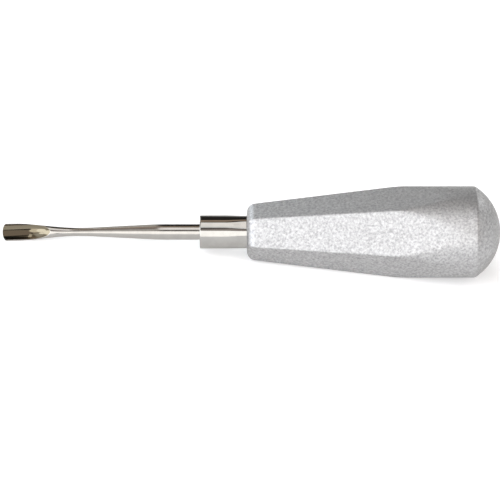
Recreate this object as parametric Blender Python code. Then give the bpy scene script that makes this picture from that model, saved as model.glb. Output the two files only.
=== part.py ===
"""Luxating elevator: a thin gouge blade on a tapering shank, a plain ferrule and a six-sided handle.

The tool is modelled along +X from its cutting edge at x = 0, with the hollow side of the blade up,
and is then rolled onto one flat of its handle and tipped until blade and handle touch the floor.
All lengths are in metres.
"""

import math

import bmesh
import bpy
import numpy as np
from mathutils import Matrix, Vector

MM = 0.001

# Blade: full width first, then narrowing to the shoulder where the hollow ends
BLADE_WIDTH = 5.0 * MM
BLADE_PARALLEL = 5.8 * MM
BLADE_TAPER = 8.0 * MM
SHOULDER_WIDTH = 3.4 * MM
SHOULDER_HEIGHT = 1.3 * MM
RIM_HEIGHT = 0.35 * MM
SCOOP_DEPTH = 0.9 * MM
SCOOP_RADIUS = 2.9 * MM
SCOOP_RUNOUT = 6.6 * MM
EDGE_THICKNESS = 0.25 * MM
BLADE_THICKNESS = 0.75 * MM
TIP_CORNER_RADIUS = 0.9 * MM
TIP_EDGE_RADIUS = 6.0 * MM
TIP_SIDE_CLEARANCE = 0.05 * MM
BEND_LENGTH = 20.0 * MM
BEND_ANGLE = math.radians(15.0)

# Neck, waist, tapering shank, straight shank and tang, one behind the other
NECK_LENGTH = 5.7 * MM
WAIST_LENGTH = 4.8 * MM
WAIST_DIAMETER = 2.45 * MM
SHANK_TAPER = 21.1 * MM
SHANK_STRAIGHT = 12.4 * MM
SHANK_DIAMETER = 4.6 * MM
PROFILE_ROUNDING = 2.0 * MM
TANG_PAST_FERRULE = 20.0 * MM
TANG_CHAMFER = 0.4 * MM

# Ferrule
FERRULE_DIAMETER = 9.84 * MM
FERRULE_SHOWN = 13.8 * MM
FERRULE_SEAT = 12.0 * MM
FERRULE_FRONT_CHAMFER = 0.2 * MM
FERRULE_REAR_CHAMFER = 0.5 * MM

# Handle
HANDLE_LENGTH = 74.5 * MM
HANDLE_SIDES = 6
FRONT_FLATS = 14.1 * MM
FLAT_TAPER = math.radians(5.98)
BARREL_DIAMETER = 26.9 * MM
DOME_HEIGHT = 7.5 * MM
DOME_SHOULDER_RADIUS = 1.0 * MM
FRONT_ROUND = 2.2 * MM
LONG_EDGE_ROUND = 0.5 * MM
DRILL_POINT_ANGLE = math.radians(118.0)

# Gap between pieces that touch, and how far a cutter reaches past what it cuts
FIT_GAP = 0.3 * MM
OVERRUN = 2.0 * MM
MERGE_DISTANCE = 1e-7

# Facets
BLADE_SEGMENTS = 48
TURNED_SEGMENTS = 96
ARC_STEPS = 6
CORNER_STEPS = 3
DOME_STEPS = 12
SCOOP_STATIONS = 12
RUNOUT_STATIONS = 18
BLADE_STATIONS = 32
TAPER_STATIONS = 10
ROUNDING_SAMPLES = 9
SHARP_ANGLE = math.radians(30.0)

# Places along the tool that follow from the lengths above
SCOOP_LENGTH = BLADE_PARALLEL + BLADE_TAPER
WAIST_START = SCOOP_LENGTH + NECK_LENGTH
WAIST_END = WAIST_START + WAIST_LENGTH
SHANK_START = WAIST_END + SHANK_TAPER
FERRULE_FRONT = SHANK_START + SHANK_STRAIGHT
HANDLE_FRONT = FERRULE_FRONT + FERRULE_SHOWN
FERRULE_REAR = HANDLE_FRONT + FERRULE_SEAT
TANG_END = FERRULE_REAR + TANG_PAST_FERRULE
HANDLE_END = HANDLE_FRONT + HANDLE_LENGTH
SHANK_RADIUS = SHANK_DIAMETER / 2
WAIST_RADIUS = WAIST_DIAMETER / 2
FERRULE_RADIUS = FERRULE_DIAMETER / 2
BARREL_RADIUS = BARREL_DIAMETER / 2
BEND_PER_LENGTH = BEND_ANGLE / BEND_LENGTH

# The tool rolls by one side of the handle from hollow side up, so that it lies on a flat
ROLL_ANGLE = 2 * math.pi / HANDLE_SIDES
SETTLE_ROUNDS = 12


def make_material(name, color, roughness):
    """A bare metal of one colour and roughness."""
    material = bpy.data.materials.new(name)
    material.use_nodes = True
    shader = material.node_tree.nodes["Principled BSDF"]
    shader.inputs["Base Color"].default_value = (*color, 1.0)
    shader.inputs["Roughness"].default_value = roughness
    shader.inputs["Metallic"].default_value = 1.0
    return material


def make_object(name, bm, material=None):
    """Turn a bmesh into an object with smooth round faces and crisp edges."""
    bmesh.ops.recalc_face_normals(bm, faces=bm.faces)
    mesh = bpy.data.meshes.new(name)
    bm.to_mesh(mesh)
    bm.free()
    mesh.shade_smooth()
    mesh.set_sharp_from_angle(angle=SHARP_ANGLE)
    if material:
        mesh.materials.append(material)
    piece = bpy.data.objects.new(name, mesh)
    bpy.context.scene.collection.objects.link(piece)
    return piece


def add_loop(bm, points):
    """Add a closed loop of edges through the points and return the edges."""
    verts = [bm.verts.new(point) for point in points]
    return [bm.edges.new((verts[i - 1], verts[i])) for i in range(len(verts))]


def loft(name, rings, material=None):
    """A solid through rings that each have as many points, closed by a flat face at both ends."""
    bm = bmesh.new()
    loops = [add_loop(bm, ring) for ring in rings]
    for front, back in zip(loops, loops[1:]):
        bmesh.ops.bridge_loops(bm, edges=front + back)
    for loop in (loops[0], loops[-1]):
        bmesh.ops.edgeloop_fill(bm, edges=loop)
    return make_object(name, bm, material)


def turn(name, profile, hollow=False, material=None):
    """A solid turned about the X axis from (x, radius) points; a hollow one closes its own profile."""
    bm = bmesh.new()
    verts = [bm.verts.new((x, radius, 0.0)) for x, radius in profile]
    edges = [bm.edges.new(pair) for pair in zip(verts, verts[1:])]
    if hollow:
        edges.append(bm.edges.new((verts[-1], verts[0])))
    bmesh.ops.spin(
        bm,
        geom=verts + edges,
        cent=(0.0, 0.0, 0.0),
        axis=(1.0, 0.0, 0.0),
        angle=2 * math.pi,
        steps=TURNED_SEGMENTS,
        use_merge=True,
    )
    bmesh.ops.remove_doubles(bm, verts=bm.verts, dist=MERGE_DISTANCE)
    return make_object(name, bm, material)


def cut(piece, tool, operation="DIFFERENCE"):
    """Cut the piece with a hidden tool by an exact Boolean."""
    tool.hide_render = True
    tool.display_type = "WIRE"
    modifier = piece.modifiers.new(tool.name, "BOOLEAN")
    modifier.operation = operation
    modifier.solver = "EXACT"
    modifier.object = tool


def arc(center_x, center_y, radius, start, end, steps):
    """Points of a circular arc in a plane, from one angle to another."""
    return [
        (center_x + radius * math.cos(angle), center_y + radius * math.sin(angle))
        for angle in np.linspace(start, end, steps + 1)
    ]


def eased(position, stations, values):
    """Straight runs between stations, with each change of slope rounded over a short length."""
    window = position + np.linspace(-PROFILE_ROUNDING, PROFILE_ROUNDING, ROUNDING_SAMPLES)
    return float(np.mean(np.interp(window, stations, values)))


def blade_half_width(position):
    """Half the width of the forging seen square to the hollow."""
    return eased(
        position,
        (0.0, BLADE_PARALLEL, SCOOP_LENGTH, WAIST_START, WAIST_END, SHANK_START),
        (BLADE_WIDTH / 2, BLADE_WIDTH / 2, SHOULDER_WIDTH / 2, WAIST_RADIUS, WAIST_RADIUS, SHANK_RADIUS),
    )


def blade_back_depth(position):
    """How far the rounded back lies behind the middle line."""
    return eased(
        position,
        (0.0, SCOOP_LENGTH, WAIST_START, WAIST_END, SHANK_START),
        (
            SCOOP_DEPTH + EDGE_THICKNESS,
            SCOOP_DEPTH + BLADE_THICKNESS,
            WAIST_RADIUS,
            WAIST_RADIUS,
            SHANK_RADIUS,
        ),
    )


def blade_front_height(position):
    """How far the front of the forging stands above the middle line, before the hollow is ground."""
    return eased(
        position,
        (0.0, BLADE_PARALLEL, SCOOP_LENGTH, WAIST_START, WAIST_END, SHANK_START),
        (RIM_HEIGHT, RIM_HEIGHT, SHOULDER_HEIGHT, WAIST_RADIUS, WAIST_RADIUS, SHANK_RADIUS),
    )


def blade_frame(position):
    """Place and directions of the blade's bent middle line: along, across and up, as a matrix."""
    angle = max(BEND_LENGTH - position, 0.0) * BEND_PER_LENGTH
    along = Vector((math.cos(angle), 0.0, -math.sin(angle)))
    up = Vector((math.sin(angle), 0.0, math.cos(angle)))
    if angle > 0.0:
        x = BEND_LENGTH - math.sin(angle) / BEND_PER_LENGTH
        z = (1.0 - math.cos(angle)) / BEND_PER_LENGTH
    else:
        x = position
        z = 0.0
    frame = Matrix((along, (0.0, 1.0, 0.0), up)).transposed().to_4x4()
    frame.translation = (x, 0.0, z)
    return frame


def section(position, half_width, depth, height, center_height=0.0):
    """One ring around the middle line: a half ellipse behind it and another in front."""
    frame = blade_frame(position)
    ring = []
    for angle in np.linspace(0.0, 2 * math.pi, BLADE_SEGMENTS, endpoint=False):
        across = half_width * math.cos(angle)
        reach = height if math.sin(angle) > 0.0 else depth
        up = center_height + reach * math.sin(angle)
        ring.append(frame @ Vector((0.0, across, up)))
    return ring


def forging_rings():
    """Rings of the blade before the hollow is ground, from ahead of the edge to the tang's end."""
    blade_run = np.linspace(-OVERRUN, WAIST_END, BLADE_STATIONS)
    taper_run = np.linspace(WAIST_END, SHANK_START + PROFILE_ROUNDING, TAPER_STATIONS)[1:]
    tang_run = (TANG_END - TANG_CHAMFER,)
    rings = [
        section(s, blade_half_width(s), blade_back_depth(s), blade_front_height(s))
        for s in (*blade_run, *taper_run, *tang_run)
    ]
    end_radius = SHANK_RADIUS - TANG_CHAMFER
    rings.append(section(TANG_END, end_radius, end_radius, end_radius))
    return rings


def scoop_rings():
    """Rings of the grinding path: straight along the blade, then out of it along the wheel's own arc."""
    runout_start = SCOOP_LENGTH - SCOOP_RUNOUT
    rise = SCOOP_DEPTH + blade_front_height(SCOOP_LENGTH)
    wheel_radius = (SCOOP_RUNOUT**2 + rise**2) / (2 * rise)
    leave_angle = math.asin((SCOOP_RUNOUT + OVERRUN / 2) / wheel_radius)
    center_height = SCOOP_RADIUS - SCOOP_DEPTH
    stations = [(s, center_height) for s in np.linspace(-2 * OVERRUN, runout_start, SCOOP_STATIONS)]
    for angle in np.linspace(0.0, leave_angle, RUNOUT_STATIONS)[1:]:
        lift = wheel_radius * (1.0 - math.cos(angle))
        stations.append((runout_start + wheel_radius * math.sin(angle), center_height + lift))
    return [section(s, SCOOP_RADIUS, SCOOP_RADIUS, SCOOP_RADIUS, height) for s, height in stations]


def tip_outline():
    """Plan of the metal trimmed off around the cutting edge, which bows out and has round corners."""
    corner_y = BLADE_WIDTH / 2 - TIP_CORNER_RADIUS + TIP_SIDE_CLEARANCE
    reach = TIP_EDGE_RADIUS - TIP_CORNER_RADIUS
    corner_x = TIP_EDGE_RADIUS - math.sqrt(reach**2 - corner_y**2)
    meet = math.atan2(corner_y, TIP_EDGE_RADIUS - corner_x)
    side = math.pi / 2
    upper = arc(corner_x, corner_y, TIP_CORNER_RADIUS, side, math.pi - meet, ARC_STEPS)
    edge = arc(TIP_EDGE_RADIUS, 0.0, TIP_EDGE_RADIUS, math.pi - meet, math.pi + meet, ARC_STEPS)
    lower = arc(corner_x, -corner_y, TIP_CORNER_RADIUS, math.pi + meet, math.pi + side, ARC_STEPS)
    outside = BLADE_WIDTH
    ahead = -2 * OVERRUN
    frame = [(corner_x, -outside), (ahead, -outside), (ahead, outside), (corner_x, outside)]
    return upper + edge[1:-1] + lower + frame


def make_tip_trimmer():
    """The trimmed outline as a solid that stands square to the blade at its cutting edge."""
    bm = bmesh.new()
    half_height = BLADE_WIDTH
    verts = [bm.verts.new((x, y, -half_height)) for x, y in tip_outline()]
    face = bm.faces.new(verts)
    extruded = bmesh.ops.extrude_face_region(bm, geom=[face])
    moved = [item for item in extruded["geom"] if isinstance(item, bmesh.types.BMVert)]
    bmesh.ops.translate(bm, verts=moved, vec=(0.0, 0.0, 2 * half_height))
    bmesh.ops.transform(bm, matrix=blade_frame(0.0), verts=bm.verts)
    return make_object("tip_trimmer", bm)


def make_blade(material):
    """The forged working end: gouge blade, waist, tapering shank and tang."""
    blade = loft("blade", forging_rings(), material)
    cut(blade, loft("scoop_grinder", scoop_rings()))
    cut(blade, make_tip_trimmer())
    return blade


def make_ferrule(material):
    """The plain bright sleeve, from the shank's root into the handle's socket."""
    bore = SHANK_RADIUS + FIT_GAP
    profile = [
        (FERRULE_FRONT, bore),
        (FERRULE_FRONT, FERRULE_RADIUS - FERRULE_FRONT_CHAMFER),
        (FERRULE_FRONT + FERRULE_FRONT_CHAMFER, FERRULE_RADIUS),
        (FERRULE_REAR - FERRULE_REAR_CHAMFER, FERRULE_RADIUS),
        (FERRULE_REAR, FERRULE_RADIUS - FERRULE_REAR_CHAMFER),
        (FERRULE_REAR, bore),
    ]
    return turn("ferrule", profile, hollow=True, material=material)


def flat_distance(position):
    """Distance of each flat from the axis."""
    return FRONT_FLATS / 2 + math.tan(FLAT_TAPER) * (position - HANDLE_FRONT)


def rounded_polygon(position, apothem):
    """A ring with flat sides and rounded corners, one side square to +Z."""
    center_reach = (apothem - LONG_EDGE_ROUND) / math.cos(math.pi / HANDLE_SIDES)
    half_turn = math.pi / HANDLE_SIDES
    ring = []
    for side in range(HANDLE_SIDES):
        direction = math.pi / 2 + (2 * side + 1) * half_turn
        center_y = center_reach * math.cos(direction)
        center_z = center_reach * math.sin(direction)
        start = direction - half_turn
        end = direction + half_turn
        corner = arc(center_y, center_z, LONG_EDGE_ROUND, start, end, CORNER_STEPS)
        ring += [(position, y, z) for y, z in corner]
    return ring


def tapered_bar_rings():
    """Rings of the six-sided bar, whose front rim is rounded over."""
    rings = []
    for angle in np.linspace(0.0, math.pi / 2, ARC_STEPS + 1):
        position = HANDLE_FRONT + FRONT_ROUND * (1.0 - math.cos(angle))
        inset = FRONT_ROUND * (1.0 - math.sin(angle))
        rings.append(rounded_polygon(position, flat_distance(position) - inset))
    behind = HANDLE_END + OVERRUN
    rings.append(rounded_polygon(behind, flat_distance(behind)))
    return rings


def barrel_profile():
    """The turned outside of the handle: a straight barrel that rounds into a dome."""
    dome_radius = (DOME_HEIGHT**2 + BARREL_RADIUS**2) / (2 * DOME_HEIGHT)
    dome_x = HANDLE_END - dome_radius
    across = BARREL_RADIUS - DOME_SHOULDER_RADIUS
    along = math.sqrt((dome_radius - DOME_SHOULDER_RADIUS) ** 2 - across**2)
    meet = math.atan2(across, along)
    ahead = HANDLE_FRONT - OVERRUN
    shoulder = arc(dome_x + along, across, DOME_SHOULDER_RADIUS, math.pi / 2, meet, ARC_STEPS)
    dome = arc(dome_x, 0.0, dome_radius, meet, 0.0, DOME_STEPS)
    return [(ahead, 0.0), (ahead, BARREL_RADIUS)] + shoulder + dome[1:-1] + [(HANDLE_END, 0.0)]


def socket_profile():
    """The handle's stepped bore: a socket for the ferrule, then a drilled hole for the tang."""
    socket_radius = FERRULE_RADIUS + FIT_GAP
    bore_radius = SHANK_RADIUS + FIT_GAP
    socket_end = FERRULE_REAR + FIT_GAP
    bore_end = TANG_END + FIT_GAP
    point_end = bore_end + bore_radius / math.tan(DRILL_POINT_ANGLE / 2)
    ahead = HANDLE_FRONT - OVERRUN
    return [
        (ahead, 0.0),
        (ahead, socket_radius),
        (socket_end, socket_radius),
        (socket_end, bore_radius),
        (bore_end, bore_radius),
        (point_end, 0.0),
    ]


def make_handle(material):
    """The handle: a six-sided tapering bar turned to a round barrel and a dome, then bored."""
    handle = loft("handle", tapered_bar_rings(), material)
    cut(handle, turn("barrel_envelope", barrel_profile()), "INTERSECT")
    cut(handle, turn("socket_drill", socket_profile()))
    return handle


def modelled_points(piece):
    """Corners of a piece after its cuts, as an array."""
    evaluated = piece.evaluated_get(bpy.context.evaluated_depsgraph_get())
    mesh = evaluated.to_mesh()
    points = np.empty(len(mesh.vertices) * 3)
    mesh.vertices.foreach_get("co", points)
    evaluated.to_mesh_clear()
    return points.reshape(-1, 3)


def turned_points(points, matrix):
    """The points after a rotation matrix."""
    return points @ np.array(matrix.to_3x3()).T


def settle(front_points, back_points):
    """Tip angle at which the lowest point of the front piece and of the back piece are level."""
    pitch = 0.0
    for _ in range(SETTLE_ROUNDS):
        tip = Matrix.Rotation(-pitch, 4, "Y")
        front = front_points[np.argmin(turned_points(front_points, tip)[:, 2])]
        back = back_points[np.argmin(turned_points(back_points, tip)[:, 2])]
        pitch = math.atan2(front[2] - back[2], back[0] - front[0])
    return pitch


def lay_down(pieces, blade, handle):
    """Parent the pieces to an empty that rests the tool on the floor over the origin."""
    roll = Matrix.Rotation(ROLL_ANGLE, 4, "X")
    blade_points = turned_points(modelled_points(blade), roll)
    handle_points = turned_points(modelled_points(handle), roll)
    pose = Matrix.Rotation(-settle(blade_points, handle_points), 4, "Y") @ roll
    points = np.vstack([turned_points(modelled_points(piece), pose) for piece in pieces])
    low = points.min(axis=0)
    high = points.max(axis=0)
    rest = bpy.data.objects.new("rest", None)
    bpy.context.scene.collection.objects.link(rest)
    center = Vector(((low[0] + high[0]) / 2, (low[1] + high[1]) / 2, low[2]))
    rest.matrix_world = Matrix.Translation(-center) @ pose
    return rest


def main():
    for leftover in list(bpy.data.objects):
        bpy.data.objects.remove(leftover, do_unlink=True)
    blasted_metal = make_material("blasted_metal", (0.78, 0.79, 0.80), 0.5)
    ferrule_steel = make_material("ferrule_steel", (0.76, 0.75, 0.73), 0.08)
    blade_steel = make_material("blade_steel", (0.72, 0.71, 0.69), 0.14)
    blade = make_blade(blade_steel)
    ferrule = make_ferrule(ferrule_steel)
    handle = make_handle(blasted_metal)
    pieces = (blade, ferrule, handle)
    rest = lay_down(pieces, blade, handle)
    for item in list(bpy.data.objects):
        if item is not rest:
            item.parent = rest


main()
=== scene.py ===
"""Luxating elevator: the finished gouge blade, ferrule and six-sided handle, on a pale studio floor."""

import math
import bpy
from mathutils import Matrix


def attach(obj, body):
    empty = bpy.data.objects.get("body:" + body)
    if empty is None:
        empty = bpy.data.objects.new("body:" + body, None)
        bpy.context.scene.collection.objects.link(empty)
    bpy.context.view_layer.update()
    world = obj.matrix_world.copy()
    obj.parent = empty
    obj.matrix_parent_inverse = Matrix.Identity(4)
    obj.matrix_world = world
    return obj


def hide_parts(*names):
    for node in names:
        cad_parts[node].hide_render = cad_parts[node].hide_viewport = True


bl_info = {
    "name": "Luxating Elevator",
    "version": (1, 0, 0),
    "blender": (4, 5, 0),
    "location": "View3D > Sidebar > Elevator",
    "description": "Grinds, turns and mills the pieces of a luxating elevator and lights them in a studio",
    "category": "Object",
}

import bmesh
import bpy
import numpy as np
from bpy.props import FloatProperty, FloatVectorProperty, IntProperty, PointerProperty
from mathutils import Matrix, Quaternion, Vector

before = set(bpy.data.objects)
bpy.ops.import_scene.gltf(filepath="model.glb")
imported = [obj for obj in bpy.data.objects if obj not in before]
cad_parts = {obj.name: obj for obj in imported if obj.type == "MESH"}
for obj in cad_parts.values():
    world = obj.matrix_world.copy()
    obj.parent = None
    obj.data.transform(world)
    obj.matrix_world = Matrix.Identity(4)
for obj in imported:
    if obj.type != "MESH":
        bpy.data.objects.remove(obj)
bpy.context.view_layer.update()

MM = 0.001
PHOTO_SIDE = 500
SHARP_ANGLE = math.radians(35.0)
WHITE = (1.0, 1.0, 1.0)
COOL = (0.78, 0.89, 1.0)
EDGE_TINT = (0.70, 0.69, 0.67)
MERGE_DISTANCE = 1e-7
# Attribute that marks the ground hollow, where a dark brown reflection is painted into the steel's colour
PAINTED_HOLLOW_MASK = "ground"
GRAIN_GROUP = "metal_grain"

# How the tool lies: rolled by one side of its handle, the hollow of the blade towards -Y
HANDLE_SIDES = 6
SIDE_ANGLE = 2 * math.pi / HANDLE_SIDES
ROLL = SIDE_ANGLE

# Sizes of the shapes that have no setting of their own
BLADE_REACH = 57.8 * MM  # from the cutting edge to the ferrule
SEAT_GAP = 0.03 * MM  # between the pieces that sit in one another
TIP_CLEARANCE = 0.05 * MM  # from the blade's side out to the end of the circle that rounds its tip corner
TIP_BLEND = 4.0 * MM  # from the cutting edge to where its outline no longer moves the steel
TIP_RINGS_END = 1.5 * MM  # end of the closest rings behind the cutting edge
LIP_BEFORE = 5.0 * MM  # start of the closest rings before the end of the hollow
LIP_AFTER = 0.5 * MM  # end of those rings behind the end of the hollow
WHEEL_LIMIT = 0.95  # share of its radius that the grinding wheel is followed for
TANG_CHAMFER = 0.4 * MM
DRILL_HALF_ANGLE = math.radians(59.0)
CRIMP_POWER = 1.5  # more than 1 leaves the sleeve broader between the crimps

# How many samples round a change of slope, and how many steps divide each stretch of a piece
SLOPE_SAMPLES = 9
CORNER_STEPS = 5
CRIMP_STEPS = 40
FACE_STEPS = 7
RIM_STEPS = 12
BODY_STEPS = 111
SHOULDER_STEPS = 8
DOME_STEPS = 40

# Finish of the polished steel: fine lines along the tool under a broad haze
LINE_SIZE = 0.25 * MM
LINE_STRETCH = (0.04, 1.0, 1.0)
LINE_MASK = (0.35, 0.75)
LINE_DEPTH = 0.002 * MM
LINE_STRENGTH = 0.15
LINE_ROUGHNESS = (0.8, 1.3)
HAZE_SIZE = 3.0 * MM
HAZE_MASK = (0.3, 0.7)
HAZE_TONE = 0.93

# Finish of the blasted metal: pits and peaks of one grain
GRAIN_MASK = (0.28, 0.72)  # noise at the bottom of the pits and at the top of the peaks
GRAIN_DETAIL = 6.0
GRAIN_BREAKUP = 0.7
GRAIN_ROUGHNESS = (1.15, 0.9)  # share of the roughness in the pits and on the peaks

# Tints of the lights, the right softbox's share of the rear light, and how far off a lamp stands
WALL_TINT = (1.0, 0.95, 0.89)
FRONT_TINT = (1.0, 0.985, 0.965)
LEFT_TINT = (0.97, 1.0, 1.05)
REAR_RIGHT_SHARE = 0.8
LAMP_DISTANCE = 1.2


def node_corners(node):
    """The different corners of a CAD node, as an array."""
    corners = np.array([tuple(vertex.co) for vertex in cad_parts[node].data.vertices])
    return np.unique(np.round(corners, decimals=7), axis=0)


def find_axis():
    """The ferrule's middle and the direction of its axis, from the blade towards the handle."""
    corners = node_corners("ferrule")
    middle = corners.mean(axis=0)
    along = np.linalg.svd(corners - middle)[2][0]
    along *= math.copysign(1.0, along[0])
    return Vector(middle), Vector(along).normalized()


AXIS_POINT, ALONG = find_axis()


def axis_span(node):
    """Where a CAD node starts and ends along the axis, counted from the axis point."""
    reach = (node_corners(node) - np.array(AXIS_POINT)) @ np.array(ALONG)
    return float(reach.min()), float(reach.max())


FERRULE_SPAN = axis_span("ferrule")
HANDLE_SPAN = axis_span("handle")
BLADE_START = FERRULE_SPAN[0] - BLADE_REACH


def length_setting(name, description, default):
    """A length that shows its unit in the sidebar."""
    return FloatProperty(
        name=name, description=description, default=default, unit="LENGTH", min=0.0, precision=5
    )


def angle_setting(name, description, default):
    """An angle, given and shown in degrees."""
    return FloatProperty(
        name=name, description=description, default=math.radians(default), subtype="ANGLE"
    )


def share_setting(name, description, default):
    """A value between nothing and all."""
    return FloatProperty(
        name=name, description=description, default=default, min=0.0, max=1.0, subtype="FACTOR"
    )


def color_setting(name, description, default):
    """A linear colour."""
    return FloatVectorProperty(
        name=name, description=description, default=default, size=3, min=0.0, max=1.0, subtype="COLOR"
    )


def light_setting(name, description, default):
    """How bright a light looks in a perfect mirror."""
    return FloatProperty(name=name, description=description, default=default, min=0.0)


class BladeSettings(bpy.types.PropertyGroup):
    """Sizes and finish of the blade, its neck and its shank, with the dark reflection painted into its
    hollow.
    """

    width: length_setting("Width", "Width of the blade at its cutting edge", 5.0 * MM)
    parallel: length_setting("Parallel length", "Length over which the blade keeps its full width", 5.8 * MM)
    taper: length_setting("Taper length", "Length from there to the end of the hollow", 8.0 * MM)
    shoulder_width: length_setting("Shoulder width", "Width where the hollow ends", 3.4 * MM)
    shoulder_height: length_setting("Shoulder height", "Height of the steel at the hollow's end", 1.3 * MM)
    rim_height: length_setting("Rim height", "Height of the forging beside the hollow", 0.35 * MM)
    scoop_depth: length_setting("Hollow depth", "Depth of the hollow below the middle line", 0.9 * MM)
    scoop_radius: length_setting("Hollow radius", "Radius that the hollow is ground to", 2.9 * MM)
    scoop_runout: length_setting("Hollow run-out", "Length over which the wheel lifts out", 6.6 * MM)
    scoop_skew: length_setting("Hollow skew", "How far the hollow swings to one side by its end", 0.4 * MM)
    edge_thickness: length_setting("Edge thickness", "Thickness of the steel at the cutting edge", 0.25 * MM)
    root_thickness: length_setting("Root thickness", "Thickness of the steel at the hollow's end", 0.75 * MM)
    rim_round: length_setting("Rim rounding", "Height over which the hollow's rim is rounded", 0.09 * MM)
    tip_corner: length_setting("Tip corner radius", "Radius of the corners of the cutting edge", 0.9 * MM)
    tip_edge: length_setting("Tip edge radius", "Radius by which the cutting edge bows out", 6.0 * MM)
    neck: length_setting("Neck length", "Length from the hollow to the waist", 5.7 * MM)
    waist: length_setting("Waist length", "Length of the waist", 4.8 * MM)
    waist_diameter: length_setting("Waist diameter", "Thinnest diameter of the shank", 2.45 * MM)
    shank_taper: length_setting("Shank taper", "Length over which the shank widens", 21.1 * MM)
    shank_diameter: length_setting("Shank diameter", "Diameter of the straight shank", 4.6 * MM)
    bend_length: length_setting("Bend length", "Length of the end that bends towards the hollow", 20.0 * MM)
    bend_angle: angle_setting("Bend angle", "Angle through which the end is bent", 15.0)
    rounding: length_setting("Profile rounding", "Length over which the outline changes its slope", 2.0 * MM)
    color: color_setting("Steel colour", "Colour of the polished steel", (0.385, 0.373, 0.353))
    # The hollow's colour is a painted dark brown reflection, darker than the steel, not a colour that the
    # steel has
    hollow_reflection_color: color_setting("Hollow colour", "Colour of the ground hollow", (0.19, 0.165, 0.118))
    roughness: share_setting("Steel roughness", "Roughness of the polished steel", 0.10)


class FerruleSettings(bpy.types.PropertyGroup):
    """Sizes and finish of the bright sleeve."""

    diameter: length_setting("Diameter", "Outside diameter of the sleeve", 9.84 * MM)
    edge_round: length_setting("Edge rounding", "Rounding of the front edge", 0.2 * MM)
    rear_chamfer: length_setting("Rear chamfer", "Chamfer of the hidden rear edge", 0.5 * MM)
    crimp_depth: length_setting("Crimp depth", "Depth of the six crimps at the handle's face", 0.13 * MM)
    crimp_length: length_setting("Crimp length", "Length of the crimps before the handle", 6.4 * MM)
    color: color_setting("Steel colour", "Colour of the bright sleeve", (0.39, 0.383, 0.366))
    roughness: share_setting("Steel roughness", "Roughness of the bright sleeve", 0.06)


class HandleSettings(bpy.types.PropertyGroup):
    """Sizes and finish of the blasted handle."""

    front_flats: length_setting("Front width", "Width across the flats at the front face", 14.1 * MM)
    flat_taper: angle_setting("Flat taper", "Angle between each flat and the axis", 5.98)
    barrel_diameter: length_setting("Barrel diameter", "Diameter of the round barrel", 26.9 * MM)
    dome_height: length_setting("Dome height", "Height of the domed end", 7.5 * MM)
    shoulder: length_setting("Dome shoulder", "Radius between barrel and dome", 1.5 * MM)
    front_round: length_setting("Front rounding", "Radius of the front rim", 2.2 * MM)
    corner: length_setting("Corner radius", "Radius of the edges between the flats", 0.5 * MM)
    runout: length_setting("Run-out blend", "Height over which the flats fade into the barrel", 0.36 * MM)
    color: color_setting("Metal colour", "Colour of the blasted metal", (0.53, 0.53, 0.533))
    dark_color: color_setting("Grain colour", "Colour in the pits of the metal", (0.285, 0.285, 0.287))
    roughness: share_setting("Metal roughness", "Roughness of the blasted metal", 0.48)
    grain: length_setting("Grain size", "Size of the blasted grain", 0.7 * MM)
    grain_depth: length_setting("Grain depth", "Depth of the blasted grain", 0.05 * MM)


class StageSettings(bpy.types.PropertyGroup):
    """Floor, lamps and camera."""

    floor_radius: length_setting("Floor radius", "Radius of the round floor", 3.0)
    floor_color: color_setting("Floor colour", "Colour of the pale floor", (0.90, 0.90, 0.90))
    floor_glow: share_setting("Floor glow", "White added to the floor for the camera and mirrors", 0.24)
    key_light: light_setting("Key light", "Brightness of the bank of lights in front", 2.6)
    left_light: light_setting("Left light", "Brightness of the lights in front at the left", 4.0)
    top_light: light_setting("Top light", "Brightness of the softbox overhead", 1.5)
    wall_light: light_setting("Wall light", "Brightness of the pale wall at the left", 0.84)
    barrel_light: light_setting("Barrel light", "Brightness of the small softbox above the handle", 4.3)
    grip_light: light_setting("Grip light", "Brightness of the small softbox before the handle", 6.0)
    rear_light: light_setting("Rear light", "Brightness of the two softboxes behind", 2.5)
    side_light: light_setting("Side light", "Brightness of the softbox at the right", 0.85)
    room_color: color_setting("Room colour", "Colour of the room around the stage", (0.10, 0.097, 0.093))
    camera_distance: length_setting("Camera distance", "Distance from the camera to the tool", 0.762)
    camera_lift: angle_setting("Camera lift", "Angle of the camera above the square view of the blade", 3.0)
    scale: FloatProperty(
        name="Photograph scale",
        description="Pixels to the millimetre in the photograph",
        default=3.4,
        min=0.1,
    )
    edge_pixel: FloatProperty(
        name="Edge pixel", description="Column of the cutting edge in the photograph", default=3.3
    )
    axis_pixel: FloatProperty(
        name="Axis pixel", description="Row of the tool's axis in the photograph", default=231.9
    )


class ModelSettings(bpy.types.PropertyGroup):
    """How finely the pieces are divided."""

    around: IntProperty(
        name="Steps around", description="Faces around each turned piece", default=288, min=24
    )
    blade_around: IntProperty(
        name="Blade steps", description="Faces around the blade", default=192, min=24
    )


def tool_matrix():
    """Place of the tool: x back from the cutting edge, z square to the hollow of the blade."""
    side = Vector((0.0, 1.0, 0.0))
    lift = ALONG.cross(side)
    across = math.cos(ROLL) * side + math.sin(ROLL) * lift
    up = math.cos(ROLL) * lift - math.sin(ROLL) * side
    matrix = Matrix((ALONG, across, up)).transposed().to_4x4()
    matrix.translation = AXIS_POINT + BLADE_START * ALONG
    return matrix


TOOL = tool_matrix()
FERRULE_FRONT = FERRULE_SPAN[0] - BLADE_START
FERRULE_REAR = FERRULE_SPAN[1] - BLADE_START
HANDLE_FRONT = HANDLE_SPAN[0] - BLADE_START
HANDLE_END = HANDLE_SPAN[1] - BLADE_START
TANG_END = axis_span("blade")[1] - BLADE_START


def arc(center_x, center_y, radius, start, end, steps):
    """Points of a circular arc from one angle to another."""
    angles = np.linspace(start, end, steps + 1)
    return [(center_x + radius * math.cos(angle), center_y + radius * math.sin(angle)) for angle in angles]


def soft_min(first, second, blend):
    """The smaller of two values at each place, rounded over where they cross."""
    overlap = np.maximum(blend - np.abs(first - second), 0.0) / blend
    return np.minimum(first, second) - overlap * overlap * blend / 4


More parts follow.
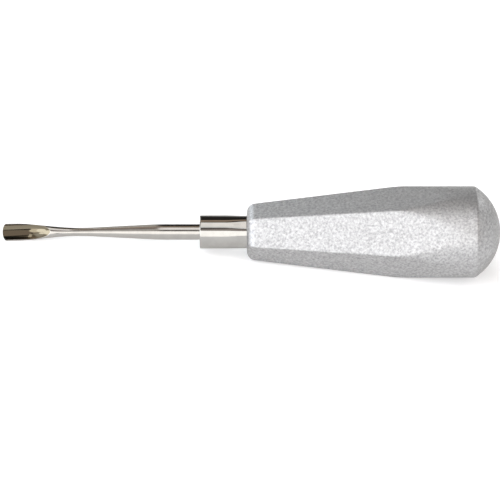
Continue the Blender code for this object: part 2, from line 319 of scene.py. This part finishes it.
def read_corners(bm):
    """Place of every vertex, as an array."""
    return np.array([tuple(vertex.co) for vertex in bm.verts])


def move_corners(bm, places):
    """Set every vertex to its new place."""
    for vertex, place in zip(bm.verts, places):
        vertex.co = place


def around_axis(points):
    """Distance of each point from the X axis, and its angle around it."""
    return np.hypot(points[:, 1], points[:, 2]), np.arctan2(points[:, 2], points[:, 1])


def scale_across(points, scales):
    """Points moved square to the X axis, each by its own scale."""
    return points * np.stack((np.ones(len(points)), scales, scales), axis=1)


def turn_blank(profile, steps, closed=False):
    """A bmesh turned about the X axis from (x, radius) points."""
    bm = bmesh.new()
    verts = [bm.verts.new((x, radius, 0.0)) for x, radius in profile]
    edges = [bm.edges.new(pair) for pair in zip(verts, verts[1:])]
    if closed:
        edges.append(bm.edges.new((verts[-1], verts[0])))
    bmesh.ops.spin(
        bm,
        geom=verts + edges,
        cent=(0.0, 0.0, 0.0),
        axis=(1.0, 0.0, 0.0),
        angle=2 * math.pi,
        steps=steps,
        use_merge=True,
    )
    bmesh.ops.remove_doubles(bm, verts=bm.verts, dist=MERGE_DISTANCE)
    return bm


def finish_piece(name, bm, material, node):
    """Place the finished bmesh on the tool as a piece that stands for its CAD node."""
    bmesh.ops.transform(bm, matrix=TOOL, verts=bm.verts)
    bmesh.ops.recalc_face_normals(bm, faces=bm.faces)
    mesh = bpy.data.meshes.new(name)
    bm.to_mesh(mesh)
    bm.free()
    mesh.shade_smooth()
    mesh.set_sharp_from_angle(angle=SHARP_ANGLE)
    mesh.materials.append(material)
    piece = bpy.data.objects.new(name, mesh)
    bpy.context.scene.collection.objects.link(piece)
    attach(piece, "root")
    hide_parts(node)
    return piece


def grain_group():
    """Fine metal grain: a height, and a mask of its peaks, from noise of a given scale."""
    if GRAIN_GROUP in bpy.data.node_groups:
        return bpy.data.node_groups[GRAIN_GROUP]
    group = bpy.data.node_groups.new(GRAIN_GROUP, "ShaderNodeTree")
    sockets = group.interface
    sockets.new_socket("Vector", in_out="INPUT", socket_type="NodeSocketVector")
    for name in ("Scale", "Low", "High", "Detail"):
        sockets.new_socket(name, in_out="INPUT", socket_type="NodeSocketFloat")
    for name in ("Height", "Mask"):
        sockets.new_socket(name, in_out="OUTPUT", socket_type="NodeSocketFloat")
    nodes = group.nodes
    links = group.links
    entry = nodes.new("NodeGroupInput")
    leave = nodes.new("NodeGroupOutput")
    noise = nodes.new("ShaderNodeTexNoise")
    noise.inputs["Roughness"].default_value = GRAIN_BREAKUP
    spread = nodes.new("ShaderNodeMapRange")
    spread.interpolation_type = "SMOOTHSTEP"
    for name in ("Vector", "Scale", "Detail"):
        links.new(entry.outputs[name], noise.inputs[name])
    links.new(noise.outputs["Fac"], spread.inputs["Value"])
    links.new(entry.outputs["Low"], spread.inputs["From Min"])
    links.new(entry.outputs["High"], spread.inputs["From Max"])
    links.new(noise.outputs["Fac"], leave.inputs["Height"])
    links.new(spread.outputs["Result"], leave.inputs["Mask"])
    return group


def add_grain(tree, size, mask, detail=2.0, stretch=(1.0, 1.0, 1.0)):
    """Place the grain group in a material on Object coordinates: size, ends of its mask, and stretch."""
    coordinates = tree.nodes.new("ShaderNodeTexCoord")
    mapping = tree.nodes.new("ShaderNodeMapping")
    mapping.vector_type = "POINT"
    mapping.inputs["Scale"].default_value = stretch
    grain = tree.nodes.new("ShaderNodeGroup")
    grain.node_tree = grain_group()
    grain.inputs["Scale"].default_value = 1.0 / size
    grain.inputs["Low"].default_value, grain.inputs["High"].default_value = mask
    grain.inputs["Detail"].default_value = detail
    tree.links.new(coordinates.outputs["Object"], mapping.inputs["Vector"])
    tree.links.new(mapping.outputs["Vector"], grain.inputs["Vector"])
    return grain


def new_metal(name, roughness):
    """A metal material and its shader."""
    material = bpy.data.materials.new(name)
    material.use_nodes = True
    shader = material.node_tree.nodes["Principled BSDF"]
    shader.inputs["Metallic"].default_value = 1.0
    shader.inputs["Specular Tint"].default_value = (*EDGE_TINT, 1.0)
    shader.inputs["Roughness"].default_value = roughness
    return material, shader


def mix_colors(tree, factor, first, second):
    """Two colours mixed by a mask, the first where the mask is 0."""
    mix = tree.nodes.new("ShaderNodeMix")
    mix.data_type = "RGBA"
    mix.inputs["A"].default_value = (*first, 1.0)
    mix.inputs["B"].default_value = (*second, 1.0)
    tree.links.new(factor, mix.inputs["Factor"])
    return mix.outputs["Result"]


def add_bump(tree, height, depth, strength, shader):
    """Raise the surface by a height map."""
    bump = tree.nodes.new("ShaderNodeBump")
    bump.inputs["Distance"].default_value = depth
    bump.inputs["Strength"].default_value = strength
    tree.links.new(height, bump.inputs["Height"])
    tree.links.new(bump.outputs["Normal"], shader.inputs["Normal"])


def map_value(tree, value, low, high):
    """Spread a mask between two values, the first where the mask is 0."""
    spread = tree.nodes.new("ShaderNodeMapRange")
    spread.inputs["To Min"].default_value = low
    spread.inputs["To Max"].default_value = high
    tree.links.new(value, spread.inputs["Value"])
    return spread.outputs["Result"]


def polished_steel(name, color, roughness):
    """Bright steel with faint polishing lines along the tool and a little haze."""
    material, shader = new_metal(name, roughness)
    tree = material.node_tree
    lines = add_grain(tree, LINE_SIZE, LINE_MASK, stretch=LINE_STRETCH)
    haze = add_grain(tree, HAZE_SIZE, HAZE_MASK)
    darker = tuple(part * HAZE_TONE for part in color)
    tone = mix_colors(tree, haze.outputs["Mask"], color, darker)
    tree.links.new(tone, shader.inputs["Base Color"])
    smooth, rough = (roughness * share for share in LINE_ROUGHNESS)
    tree.links.new(map_value(tree, lines.outputs["Mask"], smooth, rough), shader.inputs["Roughness"])
    add_bump(tree, lines.outputs["Height"], LINE_DEPTH, LINE_STRENGTH, shader)
    return material


def paint_hollow_reflection(material, color):
    """Paint a dark brown reflection into the ground hollow's colour, by the blade's own mask of what is
    ground.
    """
    tree = material.node_tree
    shader = tree.nodes["Principled BSDF"]
    polished = shader.inputs["Base Color"].links[0].from_socket
    mask = tree.nodes.new("ShaderNodeAttribute")
    mask.attribute_name = PAINTED_HOLLOW_MASK
    mix = tree.nodes.new("ShaderNodeMix")
    mix.data_type = "RGBA"
    mix.inputs["B"].default_value = (*color, 1.0)
    tree.links.new(mask.outputs["Fac"], mix.inputs["Factor"])
    tree.links.new(polished, mix.inputs["A"])
    tree.links.new(mix.outputs["Result"], shader.inputs["Base Color"])


def blasted_metal(settings):
    """Light metal blasted to an even sparkling grain."""
    material, shader = new_metal("blasted_metal", settings.roughness)
    tree = material.node_tree
    grain = add_grain(tree, settings.grain, GRAIN_MASK, detail=GRAIN_DETAIL)
    color = mix_colors(tree, grain.outputs["Mask"], settings.dark_color, settings.color)
    tree.links.new(color, shader.inputs["Base Color"])
    pits, peaks = (settings.roughness * share for share in GRAIN_ROUGHNESS)
    tree.links.new(map_value(tree, grain.outputs["Mask"], pits, peaks), shader.inputs["Roughness"])
    add_bump(tree, grain.outputs["Height"], settings.grain_depth, 1.0, shader)
    return material


def eased(positions, stations, values, rounding):
    """Straight runs between stations, with each change of slope rounded over a length."""
    steps = np.linspace(-rounding, rounding, SLOPE_SAMPLES)
    return np.mean([np.interp(positions + step, stations, values) for step in steps], axis=0)


class BladeShape:
    """The form of the blade and shank: sections along a bent middle line, and the ground hollow."""

    def __init__(self, settings):
        self.settings = settings
        self.scoop_end = settings.parallel + settings.taper
        self.waist_end = self.scoop_end + settings.neck + settings.waist
        self.shank_start = self.waist_end + settings.shank_taper
        waist_run = (self.scoop_end + settings.neck, self.waist_end, self.shank_start)
        self.full_run = (0.0, settings.parallel, self.scoop_end, *waist_run)
        self.back_run = (0.0, self.scoop_end, *waist_run)
        self.waist_radius = settings.waist_diameter / 2
        self.shank_radius = settings.shank_diameter / 2

    def stations(self):
        """Places along the blade where it has a ring, closest together where the hollow runs out."""
        stretches = (
            (TIP_RINGS_END, 15),
            (self.scoop_end - LIP_BEFORE, 55),
            (self.scoop_end + LIP_AFTER, 110),
            (self.waist_end, 35),
            (self.shank_start + self.settings.rounding, 39),
            (TANG_END - TANG_CHAMFER, 7),
        )
        runs = [np.zeros(1)]
        for end, steps in stretches:
            runs.append(np.linspace(runs[-1][-1], end, steps + 1)[1:])
        return np.concatenate(runs)

    def half_width(self, positions):
        """Half the width seen square to the hollow."""
        half = self.settings.width / 2
        shoulder = self.settings.shoulder_width / 2
        values = (half, half, shoulder, self.waist_radius, self.waist_radius, self.shank_radius)
        return eased(positions, self.full_run, values, self.settings.rounding)

    def front_height(self, positions):
        """Height of the forging on the side of the hollow, before it is ground."""
        rim = self.settings.rim_height
        shoulder = self.settings.shoulder_height
        values = (rim, rim, shoulder, self.waist_radius, self.waist_radius, self.shank_radius)
        return eased(positions, self.full_run, values, self.settings.rounding)

    def back_depth(self, positions):
        """Depth of the rounded back below the middle line."""
        edge = self.settings.scoop_depth + self.settings.edge_thickness
        root = self.settings.scoop_depth + self.settings.root_thickness
        values = (edge, root, self.waist_radius, self.waist_radius, self.shank_radius)
        return eased(positions, self.back_run, values, self.settings.rounding)

    def hollow_floor(self, positions, across):
        """Height of the ground surface: straight, then rising along the arc of the wheel."""
        radius = self.settings.scoop_radius
        runout = self.settings.scoop_runout
        rise = self.settings.scoop_depth + self.front_height(self.scoop_end)
        wheel = (runout**2 + rise**2) / (2 * rise)
        past = np.clip(positions - self.scoop_end + runout, 0.0, WHEEL_LIMIT * wheel)
        center = radius - self.settings.scoop_depth + wheel - np.sqrt(wheel**2 - past**2)
        sideways = across - self.settings.scoop_skew * positions / self.scoop_end
        return center - np.sqrt(np.maximum(radius**2 - sideways**2, 0.0))

    def tip_setback(self, across):
        """How far the cutting edge lies behind its foremost point, away from the middle."""
        corner = self.settings.tip_corner
        bow = self.settings.tip_edge
        corner_y = self.settings.width / 2 - corner + TIP_CLEARANCE
        corner_x = bow - math.sqrt((bow - corner) ** 2 - corner_y**2)
        side = np.abs(across)
        bowed = bow - np.sqrt(bow**2 - side**2)
        rounded = corner_x - np.sqrt(np.maximum(corner**2 - (side - corner_y) ** 2, 0.0))
        return np.where(side < bow * corner_y / (bow - corner), bowed, rounded)

    def bend(self, positions, across, heights):
        """Points of the straight forging, moved onto the bent middle line."""
        per_length = self.settings.bend_angle / self.settings.bend_length
        angles = np.maximum(self.settings.bend_length - positions, 0.0) * per_length
        bent = self.settings.bend_length + (heights - 1.0 / per_length) * np.sin(angles)
        x = np.where(angles > 0.0, bent, positions)
        z = (1.0 - np.cos(angles)) / per_length + heights * np.cos(angles)
        return np.stack((x, across, z), axis=1)

    def surface(self, positions, shares, angles):
        """Finished points for stations, shares of the radius and angles around, and which are ground."""
        across = shares * self.half_width(positions) * np.cos(angles)
        fade = np.clip(1.0 - positions / TIP_BLEND, 0.0, 1.0)
        positions = positions + self.tip_setback(across) * fade
        forged = shares * self.front_height(positions) * np.sin(angles)
        hollow = self.hollow_floor(positions, across)
        above = np.sin(angles) > 0.0
        ground = soft_min(forged, hollow, self.settings.rim_round)
        back = shares * self.back_depth(positions) * np.sin(angles)
        heights = np.where(above, ground, back)
        return self.bend(positions, across, heights), above & (hollow < forged)


def make_blade(settings, model):
    """The blade, shank and tang as one ground and polished piece."""
    shape = BladeShape(settings)
    profile = [(float(station), MM) for station in shape.stations()]
    tang_share = 1.0 - TANG_CHAMFER / shape.shank_radius
    profile += [(TANG_END, tang_share * MM), (TANG_END, 0.0)]
    bm = turn_blank(profile, model.blade_around)
    front = [edge for edge in bm.edges if edge.is_boundary]
    cap = bmesh.ops.edgeloop_fill(bm, edges=front)["faces"]
    blank = read_corners(bm)
    radii, angles = around_axis(blank)
    places, ground = shape.surface(blank[:, 0], radii / MM, angles)
    move_corners(bm, places)
    bmesh.ops.triangulate(bm, faces=cap, ngon_method="EAR_CLIP")
    steel = polished_steel("blade_steel", settings.color, settings.roughness)
    # The ground hollow gets a painted dark brown reflection in its colour
    paint_hollow_reflection(steel, settings.hollow_reflection_color)
    blade = finish_piece("gouge_blade", bm, steel, "blade")
    # Mask of the ground hollow, which places the painted dark brown reflection
    mask = blade.data.attributes.new(PAINTED_HOLLOW_MASK, "FLOAT", "POINT")
    mask.data.foreach_set("value", ground.astype(np.float32))
    return blade


def press_crimps(settings, blank):
    """Press the outside of the sleeve in by the jaws, in line with each edge of the handle."""
    radii, angles = around_axis(blank)
    into = np.clip(1.0 - (HANDLE_FRONT - blank[:, 0]) / settings.crimp_length, 0.0, 1.0)
    lengthways = into * into * (3.0 - 2.0 * into)
    around = (0.5 + 0.5 * np.cos(HANDLE_SIDES * angles)) ** CRIMP_POWER
    outside = radii > settings.diameter / 2 - MERGE_DISTANCE
    in_sight = blank[:, 0] < HANDLE_FRONT + MERGE_DISTANCE
    pressed = np.where(outside & in_sight, settings.crimp_depth * lengthways * around, 0.0)
    return scale_across(blank, 1.0 - pressed / radii)


def make_ferrule(settings, blade, model):
    """The bright sleeve with a softened front edge, bored for the shank and crimped before the handle."""
    radius = settings.diameter / 2
    bore = blade.shank_diameter / 2 + SEAT_GAP
    corner = settings.edge_round
    crimp_start = HANDLE_FRONT - settings.crimp_length
    profile = [(FERRULE_FRONT, bore)]
    profile += arc(FERRULE_FRONT + corner, radius - corner, corner, math.pi, math.pi / 2, CORNER_STEPS)
    profile.append((FERRULE_FRONT + 2 * corner, radius))
    profile += [(float(x), radius) for x in np.linspace(crimp_start, HANDLE_FRONT, CRIMP_STEPS + 1)]
    profile.append((HANDLE_FRONT + corner, radius))
    profile.append((FERRULE_REAR - settings.rear_chamfer, radius))
    profile.append((FERRULE_REAR, radius - settings.rear_chamfer))
    profile.append((FERRULE_REAR, bore))
    bm = turn_blank(profile, model.around, closed=True)
    move_corners(bm, press_crimps(settings, read_corners(bm)))
    steel = polished_steel("ferrule_steel", settings.color, settings.roughness)
    return finish_piece("bright_ferrule", bm, steel, "ferrule")


def polygon_reach(angles, apothems, corner):
    """Distance from the axis to the side of a polygon with rounded corners, one corner at angle 0."""
    half_side = SIDE_ANGLE / 2
    off_corner = np.abs((angles + half_side) % SIDE_ANGLE - half_side)
    centers = (apothems - corner) / math.cos(half_side)
    tangents = np.arctan2(centers * math.sin(half_side), apothems)
    flat = apothems / np.cos(half_side - off_corner)
    sideways = np.minimum(centers * np.sin(off_corner), corner)
    rounded = centers * np.cos(off_corner) + np.sqrt(corner**2 - sideways**2)
    return np.where(off_corner > half_side - tangents, flat, rounded)


def flat_distance(settings, positions):
    """Distance of the flats from the axis, less what the rounded front rim takes off."""
    into = positions - HANDLE_FRONT
    left = np.clip(settings.front_round - into, 0.0, settings.front_round)
    inset = settings.front_round - np.sqrt(settings.front_round**2 - left**2)
    return settings.front_flats / 2 + math.tan(settings.flat_taper) * into - inset


def mill_flats(settings, mouth, blank):
    """Move the outside of the turned blank in to the six flats, and its front face with it."""
    positions = blank[:, 0]
    radii, angles = around_axis(blank)
    on_front = np.abs(positions - HANDLE_FRONT) < MERGE_DISTANCE
    outer = np.where(on_front, settings.barrel_diameter / 2, radii)
    milled = polygon_reach(angles, flat_distance(settings, positions), settings.corner)
    reach = soft_min(outer, milled, settings.runout)
    outside = radii > mouth + MERGE_DISTANCE
    scales = np.ones(len(blank))
    share = (reach - mouth)[outside] / (outer - mouth)[outside]
    scales[outside] = (mouth + (radii[outside] - mouth) * share) / radii[outside]
    return scale_across(blank, scales)


def handle_profile(settings, mouth, bore):
    """The turned blank of the handle: drilled bore, socket, front face, barrel, shoulder and dome."""
    barrel = settings.barrel_diameter / 2
    socket_end = FERRULE_REAR + SEAT_GAP
    bore_end = TANG_END + SEAT_GAP
    drill_point = bore_end + bore / math.tan(DRILL_HALF_ANGLE)
    inside = [(drill_point, 0.0), (bore_end, bore), (socket_end, bore), (socket_end, mouth)]
    face = [(HANDLE_FRONT, float(radius)) for radius in np.linspace(mouth, barrel, FACE_STEPS + 1)]
    rim_angles = np.linspace(0.0, math.pi / 2, RIM_STEPS + 1)[1:]
    rim = [(HANDLE_FRONT + settings.front_round * (1.0 - math.cos(angle)), barrel) for angle in rim_angles]
    dome_radius = (settings.dome_height**2 + barrel**2) / (2 * settings.dome_height)
    dome_x = HANDLE_END - dome_radius
    across = barrel - settings.shoulder
    along = math.sqrt((dome_radius - settings.shoulder) ** 2 - across**2)
    meet = math.atan2(across, along)
    start = HANDLE_FRONT + settings.front_round
    body = [(float(x), barrel) for x in np.linspace(start, dome_x + along, BODY_STEPS + 1)[1:]]
    shoulder = arc(dome_x + along, across, settings.shoulder, math.pi / 2, meet, SHOULDER_STEPS)
    dome = arc(dome_x, 0.0, dome_radius, meet, 0.0, DOME_STEPS)
    return inside + face + rim + body + shoulder[1:] + dome[1:-1] + [(HANDLE_END, 0.0)]


def make_handle(settings, ferrule, blade, model):
    """The blasted handle, turned, milled and bored from one bar."""
    mouth = ferrule.diameter / 2 + SEAT_GAP
    bore = blade.shank_diameter / 2 + SEAT_GAP
    bm = turn_blank(handle_profile(settings, mouth, bore), model.around)
    move_corners(bm, mill_flats(settings, mouth, read_corners(bm)))
    return finish_piece("blasted_handle", bm, blasted_metal(settings), "handle")


def floor_material(settings):
    """Pale floor that the camera and reflections see as white, with the tool's shadow kept."""
    material = bpy.data.materials.new("pale_floor")
    material.use_nodes = True
    tree = material.node_tree
    nodes = tree.nodes
    nodes.clear()
    output = nodes.new("ShaderNodeOutputMaterial")
    diffuse = nodes.new("ShaderNodeBsdfDiffuse")
    diffuse.inputs["Color"].default_value = (*settings.floor_color, 1.0)
    glow = nodes.new("ShaderNodeEmission")
    glow.inputs["Strength"].default_value = settings.floor_glow
    add = nodes.new("ShaderNodeAddShader")
    choose = nodes.new("ShaderNodeMixShader")
    rays = nodes.new("ShaderNodeLightPath")
    seen = nodes.new("ShaderNodeMath")
    seen.operation = "MAXIMUM"
    any_seen = nodes.new("ShaderNodeMath")
    any_seen.operation = "MAXIMUM"
    links = tree.links
    links.new(rays.outputs["Is Camera Ray"], seen.inputs[0])
    links.new(rays.outputs["Is Glossy Ray"], seen.inputs[1])
    links.new(seen.outputs["Value"], any_seen.inputs[0])
    links.new(rays.outputs["Is Transmission Ray"], any_seen.inputs[1])
    links.new(diffuse.outputs["BSDF"], add.inputs[0])
    links.new(glow.outputs["Emission"], add.inputs[1])
    links.new(any_seen.outputs["Value"], choose.inputs["Fac"])
    links.new(diffuse.outputs["BSDF"], choose.inputs[1])
    links.new(add.outputs["Shader"], choose.inputs[2])
    links.new(choose.outputs["Shader"], output.inputs["Surface"])
    return material


def make_floor(settings):
    """The round pale floor that the tool lies on."""
    bm = bmesh.new()
    bmesh.ops.create_circle(bm, cap_ends=True, segments=96, radius=settings.floor_radius)
    mesh = bpy.data.meshes.new("studio_floor")
    bm.to_mesh(mesh)
    bm.free()
    mesh.materials.append(floor_material(settings))
    floor = bpy.data.objects.new("studio_floor", mesh)
    bpy.context.scene.collection.objects.link(floor)


def direction(azimuth, elevation):
    """Unit vector towards a place in the studio: azimuth 0 is -Y, and 90 is +X."""
    turn = math.radians(azimuth)
    rise = math.radians(elevation)
    return Vector((math.sin(turn) * math.cos(rise), -math.cos(turn) * math.cos(rise), math.sin(rise)))


def add_softbox(name, place, half_angles, brightness, color=WHITE, turn=0.0, distance=LAMP_DISTANCE):
    """A softbox aimed at the tool.

    Its place is an azimuth and an elevation, half its width and height are angles, and its brightness is
    what a perfect mirror shows of it.
    """
    width, height = (2 * distance * math.tan(math.radians(angle)) for angle in half_angles)
    lamp = bpy.data.lights.new(name, "AREA")
    lamp.shape = "RECTANGLE"
    lamp.size = width
    lamp.size_y = height
    lamp.color = color
    lamp.energy = brightness * math.pi * width * height
    towards = direction(*place)
    holder = bpy.data.objects.new(name, lamp)
    holder.location = towards * distance
    aim = towards.to_track_quat("Z", "Y") @ Quaternion((0.0, 0.0, 1.0), math.radians(turn))
    holder.rotation_euler = aim.to_euler()
    bpy.context.scene.collection.objects.link(holder)


def add_patch(tree, color_socket, name, place, inner, outer, color):
    """Tone the room to a colour within the inner angle of one place, fading out to the outer one."""
    coordinates = tree.nodes.new("ShaderNodeTexCoord")
    dot = tree.nodes.new("ShaderNodeVectorMath")
    dot.operation = "DOT_PRODUCT"
    dot.inputs[1].default_value = direction(*place)
    spread = tree.nodes.new("ShaderNodeMapRange")
    spread.interpolation_type = "SMOOTHSTEP"
    spread.inputs["From Min"].default_value = math.cos(math.radians(outer))
    spread.inputs["From Max"].default_value = math.cos(math.radians(inner))
    mix = tree.nodes.new("ShaderNodeMix")
    mix.label = name
    mix.data_type = "RGBA"
    mix.inputs["B"].default_value = (*color, 1.0)
    tree.links.new(coordinates.outputs["Generated"], dot.inputs[0])
    tree.links.new(dot.outputs["Value"], spread.inputs["Value"])
    tree.links.new(spread.outputs["Result"], mix.inputs["Factor"])
    tree.links.new(color_socket, mix.inputs["A"])
    return mix.outputs["Result"]


def room_patches(settings):
    """The parts of the room that the steel mirrors, each laid over those before it.

    Each has a name, its azimuth and elevation, the angles where it starts and ends fading, and a colour.
    """
    wall = tuple(part * settings.wall_light for part in WALL_TINT)
    front = tuple(part * settings.key_light for part in FRONT_TINT)
    left = tuple(part * settings.left_light for part in LEFT_TINT)
    return (
        ("warm corner at the right", (38.0, 39.0), 31.0, 37.0, (0.68, 0.60, 0.57)),
        ("dark ceiling behind", (150.0, 55.0), 24.0, 42.0, (0.016, 0.016, 0.016)),
        ("dark wall behind", (180.0, 18.0), 24.0, 48.0, (0.04, 0.036, 0.033)),
        ("pale panel behind", (168.0, 14.0), 10.0, 16.0, (1.2, 1.2, 1.2)),
        ("pale wall at the left", (-90.0, -6.3), 86.5, 87.4, wall),
        ("brown ceiling at the left", (-75.0, 78.0), 12.0, 20.0, (0.42, 0.36, 0.31)),
        ("warm ceiling behind", (-158.0, 64.0), 6.0, 10.0, (0.63, 0.49, 0.38)),
        ("high glow in front", (-58.0, 53.0), 8.0, 22.0, (1.35, 1.37, 1.42)),
        ("high glow at the left", (-88.0, 62.0), 6.0, 13.0, (1.2, 1.22, 1.27)),
        ("upper bank in front", (-15.0, 21.0), 19.5, 21.5, front),
        ("lower bank in front", (-12.0, 3.0), 13.0, 15.0, front),
        ("near light at the left", (-36.0, 15.0), 16.0, 18.0, left),
        ("far light at the left", (-70.0, 20.0), 17.5, 19.5, left),
        ("high light at the left", (-52.0, 39.0), 7.0, 11.0, left),
    )


def make_room(settings):
    """The soft grey room and its patches, which are seen as light and in reflections."""
    world = bpy.data.worlds.new("studio_room")
    world.use_nodes = True
    bpy.context.scene.world = world
    tree = world.node_tree
    base = tree.nodes.new("ShaderNodeRGB")
    base.outputs["Color"].default_value = (*settings.room_color, 1.0)
    color = base.outputs["Color"]
    for patch in room_patches(settings):
        color = add_patch(tree, color, *patch)
    tree.links.new(color, tree.nodes["Background"].inputs["Color"])


def make_camera(settings):
    """The camera square to the tool, at the photograph's angle, scale and framing."""
    data = bpy.data.cameras.new("photo_camera")
    half_frame = PHOTO_SIDE / 2 / settings.scale * MM
    data.lens = data.sensor_width / 2 * settings.camera_distance / half_frame
    data.clip_start = 0.01
    data.clip_end = 100.0
    lift = settings.camera_lift
    along, across, up = (TOOL.to_3x3().col[i] for i in range(3))
    towards = math.cos(lift) * up + math.sin(lift) * across
    screen_up = math.cos(lift) * across - math.sin(lift) * up
    middle = (PHOTO_SIDE / 2 - settings.edge_pixel) / settings.scale * MM
    drop = (PHOTO_SIDE / 2 - settings.axis_pixel) / settings.scale * MM
    target = TOOL @ Vector((middle, 0.0, 0.0)) - screen_up * drop
    camera = bpy.data.objects.new("photo_camera", data)
    pose = Matrix((along, screen_up, towards)).transposed().to_4x4()
    pose.translation = target + towards * settings.camera_distance
    camera.matrix_world = pose
    bpy.context.scene.collection.objects.link(camera)
    bpy.context.scene.camera = camera


def make_stage(settings):
    """Floor, room, softboxes, camera and plain colour handling."""
    make_floor(settings)
    make_room(settings)
    rear_right = REAR_RIGHT_SHARE * settings.rear_light
    add_softbox("top_softbox", (-36.0, 78.9), (4.3, 19.0), settings.top_light, turn=36.0)
    add_softbox("barrel_softbox", (26.0, 58.8), (7.6, 8.0), settings.barrel_light, distance=0.232)
    add_softbox("grip_softbox", (19.0, 10.5), (6.5, 6.5), settings.grip_light, distance=0.265)
    add_softbox("rear_left_softbox", (-136.0, 32.0), (17.0, 20.0), settings.rear_light, COOL)
    add_softbox("rear_right_softbox", (136.0, 28.0), (15.0, 17.0), rear_right)
    add_softbox("right_softbox", (86.0, 22.0), (28.0, 24.0), settings.side_light)
    make_camera(settings)
    bpy.context.scene.view_settings.view_transform = "Standard"


class ELEVATOR_OT_grind_blade(bpy.types.Operator):
    """Forge, grind and polish the blade with its shank"""

    bl_idname = "elevator.grind_blade"
    bl_label = "Grind Blade"

    def execute(self, context):
        scene = context.scene
        make_blade(scene.elevator_blade, scene.elevator_model)
        return {"FINISHED"}


class ELEVATOR_OT_turn_ferrule(bpy.types.Operator):
    """Turn and polish the sleeve between shank and handle"""

    bl_idname = "elevator.turn_ferrule"
    bl_label = "Turn Ferrule"

    def execute(self, context):
        scene = context.scene
        make_ferrule(scene.elevator_ferrule, scene.elevator_blade, scene.elevator_model)
        return {"FINISHED"}


class ELEVATOR_OT_mill_handle(bpy.types.Operator):
    """Turn, mill and blast the six-sided handle"""

    bl_idname = "elevator.mill_handle"
    bl_label = "Mill Handle"

    def execute(self, context):
        scene = context.scene
        ferrule, blade = scene.elevator_ferrule, scene.elevator_blade
        make_handle(scene.elevator_handle, ferrule, blade, scene.elevator_model)
        return {"FINISHED"}


class ELEVATOR_OT_set_stage(bpy.types.Operator):
    """Lay the floor and set the lamps and the camera"""

    bl_idname = "elevator.set_stage"
    bl_label = "Set Stage"

    def execute(self, context):
        make_stage(context.scene.elevator_stage)
        return {"FINISHED"}


class ELEVATOR_PT_sidebar(bpy.types.Panel):
    """Sizes, finishes and steps of the luxating elevator"""

    bl_idname = "ELEVATOR_PT_sidebar"
    bl_label = "Luxating Elevator"
    bl_space_type = "VIEW_3D"
    bl_region_type = "UI"
    bl_category = "Elevator"

    def draw(self, context):
        scene = context.scene
        for group_name, operator in STEPS:
            box = self.layout.box()
            settings = getattr(scene, group_name)
            for name in settings.bl_rna.properties.keys():
                if name not in ("rna_type", "name"):
                    box.prop(settings, name)
            if operator:
                box.operator(operator)


STEPS = (
    ("elevator_model", ""),
    ("elevator_blade", "elevator.grind_blade"),
    ("elevator_ferrule", "elevator.turn_ferrule"),
    ("elevator_handle", "elevator.mill_handle"),
    ("elevator_stage", "elevator.set_stage"),
)
GROUPS = {
    "elevator_model": ModelSettings,
    "elevator_blade": BladeSettings,
    "elevator_ferrule": FerruleSettings,
    "elevator_handle": HandleSettings,
    "elevator_stage": StageSettings,
}
CLASSES = (
    *GROUPS.values(),
    ELEVATOR_OT_grind_blade,
    ELEVATOR_OT_turn_ferrule,
    ELEVATOR_OT_mill_handle,
    ELEVATOR_OT_set_stage,
    ELEVATOR_PT_sidebar,
)


def register():
    """Add the classes, and the settings to each scene."""
    for item in CLASSES:
        bpy.utils.register_class(item)
    for name, group in GROUPS.items():
        setattr(bpy.types.Scene, name, PointerProperty(type=group))


def unregister():
    """Take the settings and the classes away again."""
    for name in GROUPS:
        delattr(bpy.types.Scene, name)
    for item in reversed(CLASSES):
        bpy.utils.unregister_class(item)


def main():
    """Make the pieces and the stage."""
    register()
    bpy.ops.elevator.grind_blade()
    bpy.ops.elevator.turn_ferrule()
    bpy.ops.elevator.mill_handle()
    bpy.ops.elevator.set_stage()


if __name__ == "__main__":
    main()
